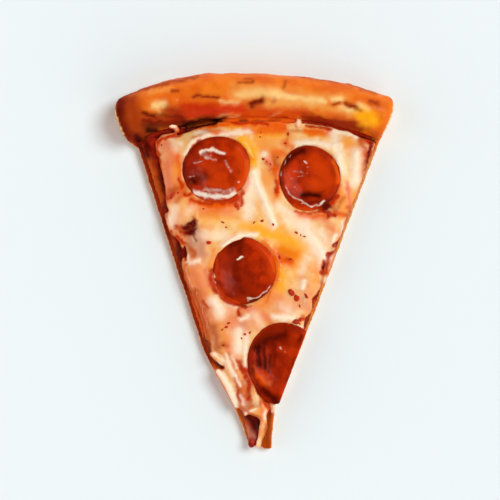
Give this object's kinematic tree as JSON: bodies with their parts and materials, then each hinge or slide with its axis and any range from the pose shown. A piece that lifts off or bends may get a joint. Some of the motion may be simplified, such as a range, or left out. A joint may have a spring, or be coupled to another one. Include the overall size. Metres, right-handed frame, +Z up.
{
  "type": "pizza slice",
  "caption": "Triangular slice of pepperoni pizza with a thick browned rim, melted cheese and tomato sauce showing at its cut sides.",
  "frame": {"origin": "middle of the slice's box, on the surface that the underside rests on", "axes": "+Y from the tip towards the middle of the rim, +Z up through the toppings, +X to the right seen from above with the rim away from the viewer"},
  "size_m": [0.1272, 0.1726, 0.0205],
  "materials": {
    "dough": "baked dough, browned and slightly oily on the rim, pale and porous where cut",
    "sauce": "moist tomato sauce",
    "cheese": "melted cheese with oil and browned patches",
    "pepperoni": "oily cured sausage with darker edges"
  },
  "bodies": {
    "root": {"crust": "dough", "sauce": "sauce", "cheese": "cheese", "pepperoni_1": "pepperoni", "pepperoni_2": "pepperoni", "pepperoni_3": "pepperoni", "pepperoni_4": "pepperoni"}
  },
  "joints": []
}
